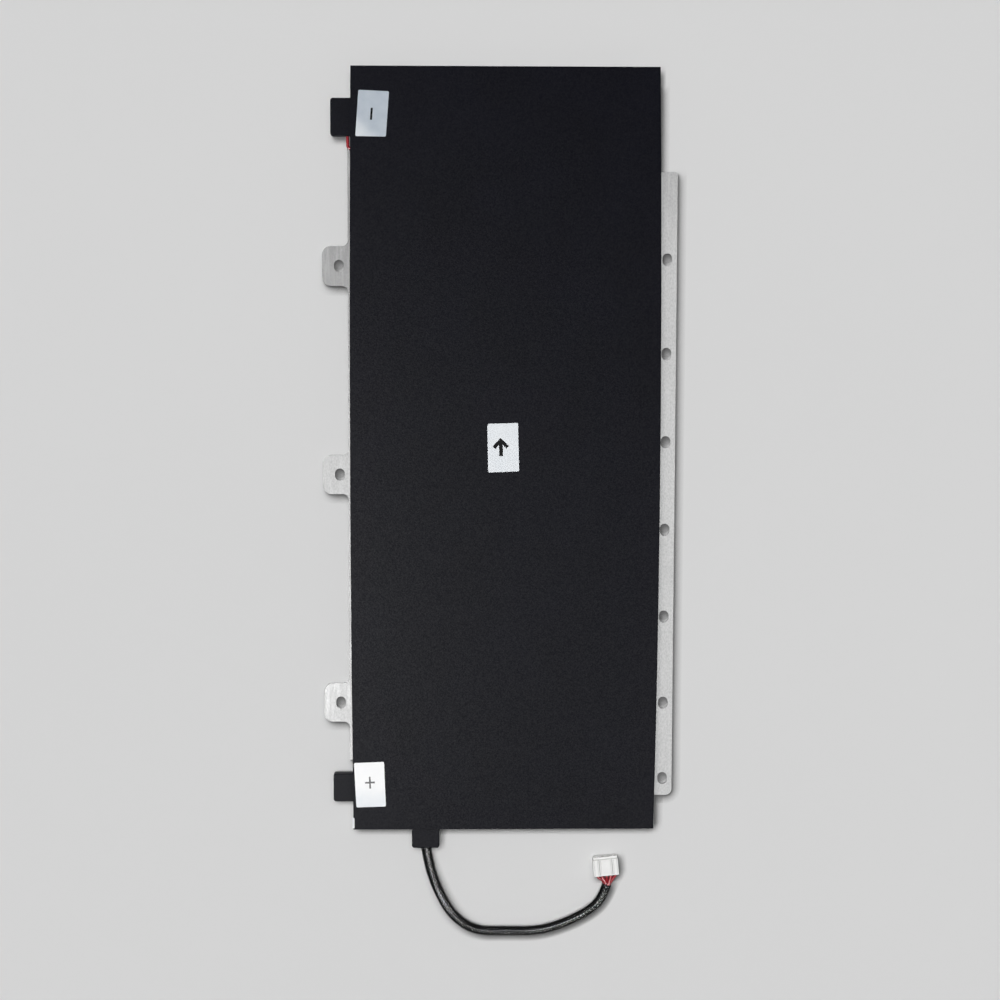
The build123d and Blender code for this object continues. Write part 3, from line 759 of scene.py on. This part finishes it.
def bowed_height(node, corner):
    """How high a sticker lies: stuck down in its middle, with one corner and the edges lifted."""
    low, high = (Vector(item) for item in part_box(node))
    middle = (low + high) / 2
    half = (high - low) / 2
    top = high.z - INK_LIFT - STICKER_BOW

    def height(x, y):
        across = (x - middle.x) / half.x
        along = (y - middle.y) / half.y
        towards_corner = max(0.0, (across * corner[0] + along * corner[1]) / 2)
        lift = EDGE_LIFT * (across ** 2 + along ** 2) / 2 + CORNER_LIFT * towards_corner ** 2
        return top + STICKER_BOW * min(1.0, lift)

    return height, middle


def along_sticker(outline):
    """The direction up a sticker's long side, from its lowest to its highest corners."""
    ordered = sorted(outline, key=lambda point: point[1])
    half = len(ordered) // 2
    lower = [sum(point[axis] for point in ordered[:half]) / half for axis in (0, 1)]
    upper = [sum(point[axis] for point in ordered[-half:]) / half for axis in (0, 1)]
    return Vector((upper[0] - lower[0], upper[1] - lower[1])).normalized()


def turned(shape, centre, upward):
    """A flat shape in millimetres, turned with its sticker and put at a place on it."""
    sideways = Vector((upward.y, -upward.x))
    return [
        tuple(Vector((centre.x, centre.y)) + (sideways * x + upward * y) * MM)
        for x, y in shape
    ]


def bar_shape(width, length):
    """A plain bar."""
    x = width / 2
    y = length / 2
    return [(-x, -y), (x, -y), (x, y), (-x, y)]


def plus_shape(width, length, stroke):
    """A plus sign."""
    x = width / 2
    y = length / 2
    s = stroke / 2
    return [
        (-s, -y), (s, -y), (s, -s), (x, -s), (x, s), (s, s),
        (s, y), (-s, y), (-s, s), (-x, s), (-x, -s), (-s, -s),
    ]


def arrow_shape(width, length, stroke):
    """An open arrow pointing up."""
    x = width / 2
    y = length / 2
    s = stroke / 2
    neck = y - ARROW_NECK * s
    wing = y - x - s
    return [
        (-s, -y), (s, -y), (s, neck), (x - s, wing - s), (x + s / 2, wing + s / 2),
        (0, y), (-x - s / 2, wing + s / 2), (-x + s, wing - s), (-s, neck),
    ]


def build_sticker(node, finishes, paper, corner, shape, shift, ink):
    """A sticker in place of a CAD label, with one corner lifted and a mark printed on it."""
    outline = top_outline(node)
    height, middle = bowed_height(node, corner)
    sticker = cut_film(
        node.replace("label", "sticker"), outline, STICKER_CELL, STICKER_THICKNESS,
        height, finishes[paper],
    )
    centre = middle + Vector((shift[0], shift[1], 0)) * MM
    mark = cut_film(
        node.replace("label", "mark"), turned(shape, centre, along_sticker(outline)),
        INK_CELL, INK_THICKNESS, lambda x, y: height(x, y) + INK_LIFT, finishes[ink],
    )
    for piece in (sticker, mark):
        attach(piece, "pack")
    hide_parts(node)


def build_stickers(finishes):
    """The three stickers on the cover."""
    build_sticker(
        "negative_label", finishes, paper="negative_paper_shade_and_sheen", corner=(-1, -1),
        shape=bar_shape(*MINUS_SIZE), shift=MINUS_SHIFT, ink="black_ink",
    )
    build_sticker(
        "centre_label", finishes, paper="centre_paper", corner=(1, -1),
        shape=arrow_shape(*ARROW_SIZE), shift=ARROW_SHIFT, ink="black_ink",
    )
    build_sticker(
        "positive_label", finishes, paper="positive_paper_painted_highlight", corner=(-1, 1),
        shape=plus_shape(*PLUS_SIZE), shift=PLUS_SHIFT, ink="grey_ink",
    )


# ---- studio -------------------------------------------------------------------------------------
def floor_material():
    """Pale matte floor, darker where the object is close by on the upper left."""
    material = bpy.data.materials.new("floor")
    material.use_nodes = True
    tree = material.node_tree
    shader = tree.nodes["Principled BSDF"]
    x, y, z = SHADE_TOWARDS
    direction = put(tree, "ShaderNodeCombineXYZ", X=x, Y=y, Z=z)
    near = put(
        tree, "ShaderNodeAmbientOcclusion", {"samples": SHADE_SAMPLES},
        Distance=SHADE_REACH, Normal=direction.outputs["Vector"],
    )
    openness = spread(tree, near.outputs["AO"], 0.0, 1.0, SHADE_DEEPEST, 1.0)
    bent = put(tree, "ShaderNodeMath", {"operation": "POWER"})
    tree.links.new(openness, bent.inputs[0])
    bent.inputs[1].default_value = SHADE_BEND
    eased = put(
        tree, "ShaderNodeMapRange", {"interpolation_type": "SMOOTHSTEP"},
        Value=bent.outputs["Value"],
    ).outputs["Result"]
    patches = spread(tree, noise(tree, FLOOR_PATCH), 0.0, 1.0)
    pale = blend_colours(tree, patches, colour(*FLOOR_DARKER), colour(*FLOOR_PALER))
    shaded = blend_colours(tree, eased, colour(*SHADE_TONE), pale)
    tree.links.new(shaded, shader.inputs["Base Color"])
    shader.inputs["Roughness"].default_value = 1.0
    shader.inputs["Specular IOR Level"].default_value = 0.0
    return material


def build_floor():
    """A wide pale floor."""
    mesh = bpy.data.meshes.new("floor")
    corners = [(-1, -1), (1, -1), (1, 1), (-1, 1)]
    places = [(x * FLOOR_REACH, y * FLOOR_REACH, FLOOR_Z) for x, y in corners]
    mesh.from_pydata(places, [], [(0, 1, 2, 3)])
    new_object("floor", mesh, floor_material(), False)


def add_sun(name, strength, spread_degrees, towards):
    """A distant lamp that lights but isn't seen in reflections."""
    lamp = bpy.data.lights.new(name, "SUN")
    lamp.energy = strength
    lamp.angle = math.radians(spread_degrees)
    thing = bpy.data.objects.new(name, lamp)
    thing.rotation_euler = Vector(towards).to_track_quat("Z", "Y").to_euler()
    thing.visible_glossy = False
    bpy.context.scene.collection.objects.link(thing)


def add_softbox(name, power, side, position, only=None):
    """A square lamp that shows only in reflections. It can light one piece only."""
    lamp = bpy.data.lights.new(name, "AREA")
    lamp.energy = power
    lamp.shape = "SQUARE"
    lamp.size = side
    thing = bpy.data.objects.new(name, lamp)
    thing.location = position
    thing.rotation_euler = Vector(position).to_track_quat("Z", "Y").to_euler()
    thing.visible_diffuse = False
    thing.visible_camera = False
    if only is not None:
        receivers = bpy.data.collections.new(name)
        receivers.objects.link(only)
        thing.light_linking.receiver_collection = receivers
    bpy.context.scene.collection.objects.link(thing)


def build_world(diffuse, glossy, seen):
    """An even pale room: one strength for light, one in reflections, one where it is seen."""
    world = bpy.data.worlds.new("studio")
    world.use_nodes = True
    tree = world.node_tree
    rays = put(tree, "ShaderNodeLightPath").outputs
    base = put(tree, "ShaderNodeMix", A=diffuse, B=glossy)
    tree.links.new(rays["Is Glossy Ray"], base.inputs["Factor"])
    shown = put(tree, "ShaderNodeMix", B=seen)
    tree.links.new(base.outputs["Result"], shown.inputs["A"])
    tree.links.new(rays["Is Camera Ray"], shown.inputs["Factor"])
    tree.links.new(shown.outputs["Result"], tree.nodes["Background"].inputs["Strength"])
    tree.nodes["Background"].inputs["Color"].default_value = colour(1, 1, 1)
    bpy.context.scene.world = world


def build_lights(sleeve):
    """Soft light from the upper left, a little from above, two softboxes in the gloss, and three
    that pick out the sleeve's filaments."""
    add_sun("key", *KEY_SUN)
    add_sun("top", *TOP_SUN)
    add_softbox("softbox_left", *LEFT_SOFTBOX)
    add_softbox("softbox_right", *RIGHT_SOFTBOX)
    for index, (turn, height, power) in enumerate(SLEEVE_LIGHTS):
        across = SLEEVE_LIGHT_AWAY * math.cos(math.radians(height))
        position = (
            across * math.cos(math.radians(turn)),
            across * math.sin(math.radians(turn)),
            SLEEVE_LIGHT_AWAY * math.sin(math.radians(height)),
        )
        add_softbox(f"sleeve_light_{index}", power, SLEEVE_LIGHT_SIDE, position, only=sleeve)
    build_world(ROOM_LIGHT, ROOM_GLOSS, ROOM_SEEN)
    bpy.context.scene.cycles.caustics_reflective = False


def build_camera():
    """The camera, straight above and looking a little back down the pack."""
    data = bpy.data.cameras.new("camera")
    data.lens = CAMERA_LENS
    data.sensor_width = CAMERA_SENSOR
    data.clip_start = CAMERA_NEAREST
    data.clip_end = CAMERA_FURTHEST
    camera = bpy.data.objects.new("camera", data)
    camera.location = (
        PACK_MIDDLE.x + CAMERA_OFFSET[0],
        PACK_MIDDLE.y + CAMERA_OFFSET[1],
        CAMERA_HEIGHT,
    )
    camera.rotation_euler = [math.radians(turn) for turn in CAMERA_TILT]
    bpy.context.scene.collection.objects.link(camera)
    bpy.context.scene.camera = camera


finishes = make_materials()
dress_frame(finishes)
build_camera()
sleeve = build_lead(finishes)
build_stickers(finishes)
build_floor()
build_lights(sleeve)
bpy.context.scene.view_settings.view_transform = "Standard"
